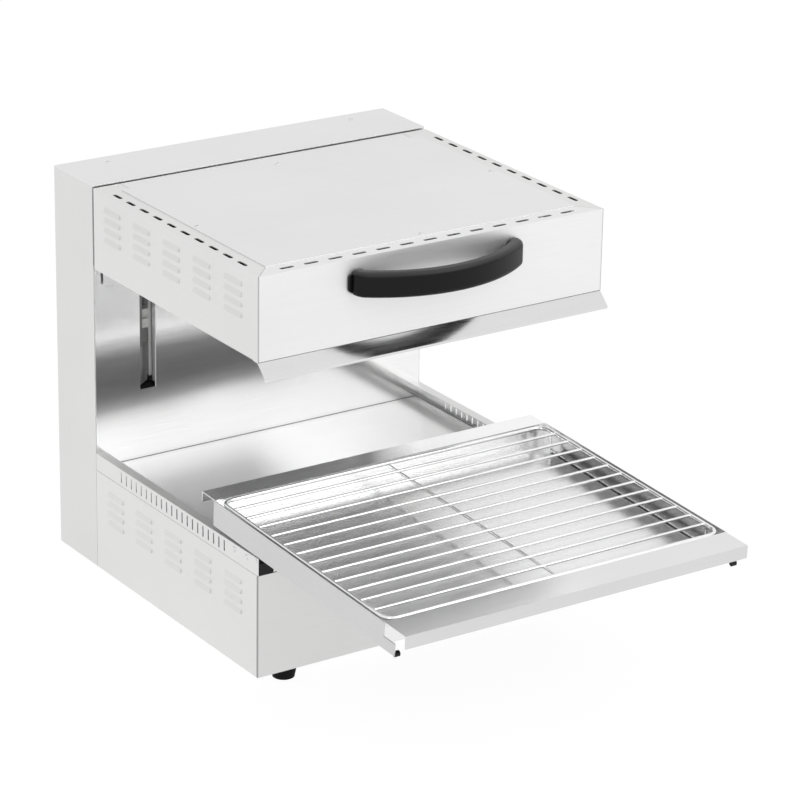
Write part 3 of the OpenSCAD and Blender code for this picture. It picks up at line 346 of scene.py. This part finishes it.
BLACK = cast("black_plastic", (0.008, 0.008, 0.0085), rough=0.4, scale=1100, depth=0.1,
             specular=0.25)
# Black for the troughs of painted shade under the rim's slots
SHADE_TROUGH_BLACK = cast("shade_trough_black", (0.004, 0.004, 0.004), rough=0.8, scale=600, depth=0.3,
             distance=0.0003, specular=0.05)
RUBBER = cast("black_rubber", (0.006, 0.006, 0.006), rough=0.7, scale=700, depth=0.25,
              distance=0.0003, specular=0.12)
NYLON = cast("white_nylon", (0.93, 0.93, 0.91), rough=0.5, scale=500, depth=0.1, vary=0.04)
LENS = cast("amber_lens", (0.75, 0.26, 0.03), rough=0.12, scale=400, depth=0.05, vary=0.08)
MARKS = cast("white_marks", (0.80, 0.80, 0.80), rough=0.5, scale=900, depth=0.05,
             distance=0.0001, vary=0.04)
INK = cast("black_ink", (0.02, 0.02, 0.02), rough=0.5, scale=900, depth=0.05,
           distance=0.0001, vary=0.04)

MATERIALS = {
    # Base
    "base_side_left": SATIN_Y, "base_side_right": SATIN_Y, "base_front": FRONT_LOW,
    "base_bottom": SATIN_LOW, "floor_plate": FLOOR_SHEET,
    "tray_rail_left": SATIN_Y, "tray_rail_right": SATIN_Y, "rail_rivets": SCREW,
    "rail_end_blocks": BLACK,
    "energy_regulators": BLACK, "pilot_lamps": LENS, "terminal_block": NYLON,
    "cord_gland": BLACK, "knob_left": BLACK, "knob_right": BLACK,
    "foot_front_left": RUBBER, "foot_front_right": RUBBER,
    "foot_rear_left": RUBBER, "foot_rear_right": RUBBER,
    # Tower and lift
    "tower_side_left": SATIN_Z, "tower_side_right": SATIN_Z, "tower_top": SATIN_X,
    "tower_front_panel": POLISH_X, "tower_back_panel": SATIN_Z, "casing_screws": ZINC,
    "guide_rail_left": CHANNEL, "guide_rail_right": CHANNEL, "weight_guide_rods": ZINC,
    "pulley_beam": ZINC, "pulley_axles": ZINC, "pulley_left": NYLON, "pulley_right": NYLON,
    "cable_hood_side": ROPE, "cable_weight_side": ROPE, "cable_over_pulleys": ROPE,
    "carriage_left": DARK_STEEL, "carriage_right": DARK_STEEL, "carriage_glides": NYLON,
    "counterweight": IRON,
    # Hood
    "hood_side_left": SATIN_Y, "hood_side_right": SATIN_Y, "hood_front": FRONT_X,
    "hood_back": SATIN_X, "hood_cover": SATIN_X, "cover_screws": ZINC, "heat_deflector": LIP,
    "hood_reflector": REFLECTOR, "element_holders": ZINC,
    "heating_element_left": SHEATH, "heating_element_right": SHEATH,
    "hood_handle": HANDLE, "handle_spacers": HANDLE, "handle_screws": ZINC,
    # Tray and grid
    "tray_glides": BLACK, "tray_pan": TRAY, "tray_side_left": PLATE, "tray_side_right": PLATE,
    "tray_pins": BLACK, "grid_frame": WIRE, "grid_legs": WIRE,
}
for name, mat in MATERIALS.items():
    for s in nodes[name].material_slots:
        s.material = mat


# Small pieces, made in mesh code
def piece(name, bm, mat, body, smooth=False):
    """Makes an object of the mesh, which rides on the body, if one is given."""
    mesh = bpy.data.meshes.new(name)
    bm.to_mesh(mesh)
    bm.free()
    mesh.materials.append(mat)
    for p in mesh.polygons:
        p.use_smooth = smooth
    o = bpy.data.objects.new(name, mesh)
    scene.collection.objects.link(o)
    if body:
        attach(o, body)
    return o


def face_outward(bm):
    bmesh.ops.recalc_face_normals(bm, faces=bm.faces)


def turned(bm, profile, place, axis, steps=32):
    """Adds a turned shape: profile gives (radius, height) pairs along axis."""
    frame_of = Vector(axis).to_track_quat("Z", "Y").to_matrix().to_4x4()
    frame_of.translation = Vector(place)
    rings = []
    for r, h in profile:
        if r == 0:
            rings.append([bm.verts.new(frame_of @ Vector((0, 0, h)))])
        else:
            rings.append([bm.verts.new(frame_of @ Vector((r * math.cos(t), r * math.sin(t), h)))
                          for t in (2 * math.pi * i / steps for i in range(steps))])
    for lower, upper in zip(rings, rings[1:]):
        for i in range(steps):
            j = (i + 1) % steps
            if len(lower) == 1:
                bm.faces.new((lower[0], upper[i], upper[j]))
            elif len(upper) == 1:
                bm.faces.new((lower[i], lower[j], upper[0]))
            else:
                bm.faces.new((lower[i], lower[j], upper[j], upper[i]))


def extruded(bm, outline, shift):
    """Adds a closed outline of points, drawn out by a shift."""
    low = [bm.verts.new(p) for p in outline]
    high = [bm.verts.new(Vector(p) + Vector(shift)) for p in outline]
    bm.faces.new(low)
    bm.faces.new(high)
    for i in range(len(low)):
        j = (i + 1) % len(low)
        bm.faces.new((low[i], low[j], high[j], high[i]))


def arc(x, y, r, start, end, steps):
    return [(x + r * math.cos(math.radians(start + (end - start) * i / steps)),
             y + r * math.sin(math.radians(start + (end - start) * i / steps)))
            for i in range(steps + 1)]


def box_of(node):
    lo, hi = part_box(node)
    return Vector(lo), Vector(hi)


# Faces of the CAD nodes that the small pieces sit on, and the gap between tower and hood
HOOD_GAP = 0.003
X_OUT = 0.2375
Y_BACK = box_of("tower_back_panel")[1].y
Y_TOWER = box_of("tower_top")[0].y
Y_FRONT = box_of("base_front")[0].y
Y_HOOD = Y_TOWER - HOOD_GAP
Z_TOP = box_of("tower_top")[1].z
Z_COVER = box_of("hood_cover")[1].z
Z_RIM = box_of("hood_front")[1].z

# Screw heads: their shape in shares of radius and height, and the cross in them
HEAD_SHARES = ((0, 0), (1, 0), (1, 0.4), (0.93, 0.72), (0.72, 0.92), (0.4, 1), (0, 1))
CROSS_L_SHARE = 1.1
CROSS_W_SHARE = 0.24
CROSS_H_SHARE = 0.9
CROSS_MIDDLE_SHARE = 0.85
FIRST_TURN = 25
NEXT_TURN = 37
HEAD_H = 0.0009
COVER_HEAD_R = 0.0033
CASING_HEAD_R = 0.0034


def cross_screws(name, places, axis, r, h, mat, body):
    """Pan-head screws with a cross recess, one for each place."""
    heads = bmesh.new()
    cuts = bmesh.new()
    frame_of = Vector(axis).to_track_quat("Z", "Y").to_matrix().to_4x4()
    for k, place in enumerate(places):
        turned(heads, [(r * a, h * b) for a, b in HEAD_SHARES], place, axis)
        for turn in (0, 90):
            m = Matrix.Translation(place) @ frame_of @ Matrix.Rotation(
                math.radians(turn + FIRST_TURN + NEXT_TURN * k), 4, "Z")
            for v in bmesh.ops.create_cube(cuts, size=1)["verts"]:
                v.co = m @ Vector((v.co.x * r * CROSS_L_SHARE, v.co.y * r * CROSS_W_SHARE,
                                   h * CROSS_MIDDLE_SHARE + v.co.z * h * CROSS_H_SHARE))
    face_outward(heads)
    cutter_mesh = bpy.data.meshes.new(name + "_cut")
    cuts.to_mesh(cutter_mesh)
    cuts.free()
    cutter = bpy.data.objects.new(name + "_cut", cutter_mesh)
    scene.collection.objects.link(cutter)
    o = piece(name, heads, mat, body)
    cut = o.modifiers.new("recess", "BOOLEAN")
    cut.operation = "DIFFERENCE"
    cut.object = cutter
    cut.solver = "EXACT"
    cut.use_self = True
    bpy.context.view_layer.update()
    made = bpy.data.meshes.new_from_object(
        o.evaluated_get(bpy.context.evaluated_depsgraph_get()))
    o.modifiers.clear()
    o.data = made
    bpy.data.objects.remove(cutter)
    return o


COVER_SCREW_X = 0.206
COVER_SCREW_Y = Y_HOOD - 0.1875
COVER_SCREW_INSET = 0.0315
COVER_SCREWS = [(-COVER_SCREW_X, COVER_SCREW_Y, Z_COVER), (COVER_SCREW_X, COVER_SCREW_Y, Z_COVER),
                (0, Y_HOOD - COVER_SCREW_INSET, Z_COVER),
                (0, Y_FRONT + COVER_SCREW_INSET, Z_COVER)]
o = cross_screws("cover_screw_heads", COVER_SCREWS, (0, 0, 1), COVER_HEAD_R, HEAD_H, SCREW,
                 "hood")
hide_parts("cover_screws")

TOP_SCREW_X = 0.175
TOP_SCREW_INSET = 0.022
TOP_SCREWS = [(s * TOP_SCREW_X, Y_BACK - TOP_SCREW_INSET, Z_TOP) for s in (-1, 1)]
o = cross_screws("tower_top_screw_heads", TOP_SCREWS, (0, 0, 1), CASING_HEAD_R, HEAD_H, SCREW,
                 "chassis")
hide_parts("casing_screws")

BACK_SCREW_X = 0.2195
BACK_SCREW_HEIGHTS = (0.033, 0.2604, 0.4878)
BACK_SCREWS = [(s * BACK_SCREW_X, Y_BACK, z) for s in (-1, 1) for z in BACK_SCREW_HEIGHTS]
o = cross_screws("tower_back_screw_heads", BACK_SCREWS, (0, 1, 0), CASING_HEAD_R, HEAD_H, SCREW,
                 "chassis")
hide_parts("casing_screws")

# Slots of the tower's front panel: inboard side, outboard side, foot and top
SLOT_TOP_DROP = 0.012
X_SLOT_IN = 0.1527
X_SLOT_OUT = 0.1747
Z_SLOT = 0.2360
Z_SLOT_TOP = Z_TOP - SLOT_TOP_DROP

# Strips on the slots' inboard returns, near-white with painted light: a thin strip with a bead
# over its front edge
STRIP_T = 0.0004
STRIP_D = 0.0078
STRIP_END_GAP = 0.0003
BEAD_R = 0.0006
BEAD_X = X_SLOT_IN + 0.0003
BEAD_Y = Y_TOWER - 0.0002
BEAD_ARC = (240, 360, 8)        # degrees from and to, and steps

# Rubber stops at the slots' feet: a low block with a rounded hump at its inboard end
STOP_IN = X_SLOT_IN + 0.0012
STOP_OUT = X_SLOT_OUT - 0.0006
STOP_FOOT = 0.0002
STOP_H = 0.006
STOP_LOW_H = 0.0045
STOP_END_H = 0.004
STOP_END_L = 0.004
STOP_Y = 0.0004
STOP_D = 0.005
STOP_ROUND = 0.0004
HUMP_SHARE = 0.3
HUMP_R = 0.003
HUMP_ARC = (60, 120, 6)

lit_strips = bmesh.new()
stops = bmesh.new()
bead = arc(BEAD_X, BEAD_Y, BEAD_R, *BEAD_ARC)
strip = [(X_SLOT_IN, Y_TOWER + STRIP_D), *bead, (X_SLOT_IN + STRIP_T, Y_TOWER + STRIP_D)]
block = [(STOP_OUT, STOP_FOOT), (STOP_IN, STOP_FOOT), (STOP_IN, STOP_H)]
block += arc(STOP_IN * (1 - HUMP_SHARE) + STOP_OUT * HUMP_SHARE, STOP_H, HUMP_R, *HUMP_ARC)
block += [(STOP_OUT - STOP_END_L, STOP_LOW_H), (STOP_OUT, STOP_END_H)]
for side in (-1, 1):
    extruded(lit_strips, [(side * x, y, Z_SLOT + STRIP_END_GAP) for x, y in strip],
             (0, 0, Z_SLOT_TOP - Z_SLOT - 2 * STRIP_END_GAP))
    extruded(stops, [(side * x, Y_TOWER + STOP_Y, Z_SLOT + z) for x, z in block],
             (0, STOP_D, 0))
face_outward(lit_strips)
face_outward(stops)
bmesh.ops.bevel(stops, geom=stops.edges[:], offset=STOP_ROUND, segments=2, affect="EDGES",
                clamp_overlap=True)
piece("slot_lit_strips", lit_strips, LIT_STRIP_STEEL, "chassis")
piece("slot_stops", stops, RUBBER, "chassis")

# Laid wire ropes of the lift; each stretch takes the height of its cable, from the pulley down
# to its load. A lay is the height in which a strand goes round once.
ROPE_R = 0.001
STRANDS = 6
STRAND_R = 0.00034
STRAND_OUT = ROPE_R - STRAND_R
STRAND_SIDES = 5
STEPS_IN_LAY = 8
WEIGHT_LAY = 0.012
HOOD_LAY = 0.006


def rope(bm, x, y, low, high, lay):
    """Adds an upright rope of twisted strands."""
    steps = round((high - low) / lay * STEPS_IN_LAY)
    for k in range(STRANDS):
        rings = []
        for i in range(steps + 1):
            turn = 2 * math.pi * (i / STEPS_IN_LAY + k / STRANDS)
            cx, cy = x + STRAND_OUT * math.cos(turn), y + STRAND_OUT * math.sin(turn)
            z = low + (high - low) * i / steps
            rings.append([
                bm.verts.new((cx + STRAND_R * math.cos(t), cy + STRAND_R * math.sin(t), z))
                for t in (2 * math.pi * j / STRAND_SIDES for j in range(STRAND_SIDES))])
        for lower, upper in zip(rings, rings[1:]):
            for i in range(STRAND_SIDES):
                j = (i + 1) % STRAND_SIDES
                bm.faces.new((lower[i], lower[j], upper[j], upper[i]))
        bm.faces.new(rings[0][::-1])
        bm.faces.new(rings[-1])


for name, cable, load, lay in (
        ("weight_ropes", "cable_weight_side", "counterweight", WEIGHT_LAY),
        ("hood_ropes", "cable_hood_side", "hood", HOOD_LAY)):
    lo, hi = box_of(cable)
    ropes = bmesh.new()
    for side in (-1, 1):
        rope(ropes, side * (hi.x - ROPE_R), (lo.y + hi.y) / 2, lo.z, hi.z, lay)
    face_outward(ropes)
    o = piece(name, ropes, ROPE, None, smooth=True)
    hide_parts(cable)
    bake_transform(o)

# Painted shade: shallow black troughs under the rim's slots, along the middle of each row
TROUGH_W = 0.012
TROUGH_H = 0.003
TROUGH_T = 0.0005
TROUGH_DROP = 0.006
TROUGH_INSET = 0.0085
TROUGH_SIDE_END = 0.006
TROUGH_FRONT_END = 0.015


def shade_trough(bm, middle, start, end, along):
    """Adds a black trough of painted shade under a row of slots that runs along X or Y."""
    z = Z_RIM - TROUGH_DROP
    out, inner = TROUGH_W / 2, TROUGH_W / 2 - TROUGH_T
    trough = [(-out, z + TROUGH_H), (-out, z), (out, z), (out, z + TROUGH_H),
              (inner, z + TROUGH_H), (inner, z + TROUGH_T),
              (-inner, z + TROUGH_T), (-inner, z + TROUGH_H)]
    if along == "Y":
        extruded(bm, [(middle + u, start, h) for u, h in trough], (0, end - start, 0))
    else:
        extruded(bm, [(start, middle + u, h) for u, h in trough], (end - start, 0, 0))


shade_troughs = bmesh.new()
for side in (-1, 1):
    shade_trough(shade_troughs, side * (X_OUT - TROUGH_INSET),
          Y_FRONT + TROUGH_SIDE_END, Y_HOOD - TROUGH_SIDE_END, "Y")
shade_trough(shade_troughs, Y_FRONT + TROUGH_INSET, TROUGH_FRONT_END - X_OUT, X_OUT - TROUGH_FRONT_END, "X")
face_outward(shade_troughs)
piece("rim_shade_troughs", shade_troughs, SHADE_TROUGH_BLACK, "hood")

# Steel heads over the ends of the glides' pins
PIN_BACK = 0.0045
PIN_UP = 0.0035
PIN_HEAD_GAP = 0.0001
PIN_HEAD = ((0, 0), (0.0026, 0), (0.0026, 0.0002), (0.002, 0.0005), (0, 0.0006))
PIN_STEPS = 24
PIN_Z = box_of("tray_glides")[0].z + PIN_UP
caps = bmesh.new()
for side in (-1, 1):
    turned(caps, PIN_HEAD, (side * (X_OUT + PIN_HEAD_GAP), Y_FRONT + PIN_BACK, PIN_Z),
           (side, 0, 0), PIN_STEPS)
face_outward(caps)
piece("glide_pin_heads", caps, SCREW, "glides")

# White line on each knob's bar, and dark ticks round each dial
DIALS = {"knob_left": 0.07125, "knob_right": 0.152}
Z_DIAL = 0.079
MARK_T = 0.00012
MARK_GAP = 0.00002
LINE_UP = 0.0085
LINE_L = 0.010
LINE_W = 0.0014
TICKS = 7
FIRST_TICK = -135
TICK_STEP = 45
TICK_OUT = 0.0248
TICK_L = 0.003
END_TICK_L = 0.0045
TICK_W = 0.0011
END_STEPS = 6


def mark(bm, place, along, length, width):
    """Adds a flat bar with round ends, on a face that looks to -Y."""
    along = Vector(along).normalized()
    across = along.cross(Vector((0, 1, 0)))
    outline = [Vector(place) + along * (u + end * (length - width) / 2) + across * v
               for end, start in ((1, -90), (-1, 90))
               for u, v in arc(0, 0, width / 2, start, start + 180, END_STEPS)]
    extruded(bm, outline, (0, -MARK_T, 0))


ticks = bmesh.new()
for name, x in DIALS.items():
    line = bmesh.new()
    mark(line, (x, box_of(name)[0].y - MARK_GAP, Z_DIAL + LINE_UP), (0, 0, 1), LINE_L, LINE_W)
    face_outward(line)
    piece(name + "_line", line, MARKS, name)
    for i in range(TICKS):
        t = math.radians(FIRST_TICK + TICK_STEP * i)
        out = Vector((math.sin(t), 0, math.cos(t)))
        mark(ticks, Vector((x, Y_FRONT - MARK_GAP, Z_DIAL)) + out * TICK_OUT, out,
             END_TICK_L if i in (0, TICKS - 1) else TICK_L, TICK_W)
face_outward(ticks)
piece("dial_ticks", ticks, INK, "chassis")

# Stage: a white floor that keeps the part's shadow, a soft studio and two lamps
FLOOR_HALF = 30
FLOOR_Z = -0.0002
FLOOR_LIGHT = 1.07
FLOOR_GREY = (0.9, 0.9, 0.9, 1)
FLOOR_LIGHT_SHARE = 0.88
WHITE = (1, 1, 1, 1)
SOFT_LIGHT = 0.6
STUDIO_DARK = (0.82, 0.82, 0.82, 1)
STUDIO_BRIGHT_SIDE = (0.75, -0.35, 0.55)
HALF = 0.5                      # carries -1 to 1 over to 0 to 1
LAMP_AIM = (0, 0, 0.25)


def set_stage():
    r = FLOOR_HALF
    mesh = bpy.data.meshes.new("floor")
    mesh.from_pydata([(-r, -r, 0), (r, -r, 0), (r, r, 0), (-r, r, 0)], [], [(0, 1, 2, 3)])
    floor = bpy.data.objects.new("floor", mesh)
    floor.location.z = FLOOR_Z
    scene.collection.objects.link(floor)
    mat = bpy.data.materials.new("floor")
    mat.use_nodes = True
    mat.node_tree.nodes.clear()
    t = Tree(mat.node_tree)
    out = t.node("ShaderNodeOutputMaterial")
    light = t.node("ShaderNodeEmission", Strength=FLOOR_LIGHT)
    grey = t.node("ShaderNodeBsdfDiffuse", Color=FLOOR_GREY)
    path = t.node("ShaderNodeLightPath")
    shown = t.node("ShaderNodeMath", operation="MAXIMUM")
    t.link(path.outputs["Is Camera Ray"], shown.inputs[0])
    t.link(path.outputs["Is Glossy Ray"], shown.inputs[1])
    share = t.node("ShaderNodeMath", operation="MULTIPLY")
    share.inputs[1].default_value = FLOOR_LIGHT_SHARE
    t.link(shown.outputs[0], share.inputs[0])
    mix = t.node("ShaderNodeMixShader")
    t.link(share.outputs[0], mix.inputs[0])
    t.link(grey.outputs[0], mix.inputs[1])
    t.link(light.outputs[0], mix.inputs[2])
    t.link(mix.outputs[0], out.inputs["Surface"])
    mesh.materials.append(mat)


def set_world():
    """White behind the part, soft light on it, and a studio in its reflections."""
    world = bpy.data.worlds.new("studio")
    scene.world = world
    world.use_nodes = True
    world.node_tree.nodes.clear()
    t = Tree(world.node_tree)
    out = t.node("ShaderNodeOutputWorld")
    white = t.node("ShaderNodeBackground", Color=WHITE)
    soft = t.node("ShaderNodeBackground", Color=WHITE, Strength=SOFT_LIGHT)
    studio = t.node("ShaderNodeBackground")
    path = t.node("ShaderNodeLightPath")
    coord = t.node("ShaderNodeTexCoord")
    turn = t.node("ShaderNodeVectorMath", operation="DOT_PRODUCT")
    turn.inputs[1].default_value = STUDIO_BRIGHT_SIDE
    t.link(coord.outputs["Generated"], turn.inputs[0])
    shift = t.node("ShaderNodeMath", operation="MULTIPLY_ADD")
    for i in (1, 2):
        shift.inputs[i].default_value = HALF
    t.link(turn.outputs["Value"], shift.inputs[0])
    ramp = t.node("ShaderNodeValToRGB")
    for element, at, colour in zip(ramp.color_ramp.elements, (0, 1), (STUDIO_DARK, WHITE)):
        element.position = at
        element.color = colour
    t.link(shift.outputs[0], ramp.inputs["Fac"])
    t.link(ramp.outputs["Color"], studio.inputs["Color"])
    first = t.node("ShaderNodeMixShader")
    t.link(path.outputs["Is Glossy Ray"], first.inputs[0])
    t.link(soft.outputs[0], first.inputs[1])
    t.link(studio.outputs[0], first.inputs[2])
    second = t.node("ShaderNodeMixShader")
    t.link(path.outputs["Is Camera Ray"], second.inputs[0])
    t.link(first.outputs[0], second.inputs[1])
    t.link(white.outputs[0], second.inputs[2])
    t.link(second.outputs[0], out.inputs["Surface"])


def area(name, place, side, power):
    """Adds a square lamp, in metres and watts."""
    data = bpy.data.lights.new(name, "AREA")
    data.shape = "RECTANGLE"
    data.size, data.size_y = side, side
    data.energy = power
    lamp = bpy.data.objects.new(name, data)
    lamp.location = place
    aim = Vector(LAMP_AIM) - Vector(place)
    lamp.rotation_euler = aim.to_track_quat("-Z", "Y").to_euler()
    scene.collection.objects.link(lamp)


set_stage()
set_world()
area("key", place=(1.2, -2.6, 2.4), side=1.6, power=22)
area("flash", place=(-2.35, -3.0, 1.8), side=0.9, power=16)

scene.view_settings.view_transform = "Standard"
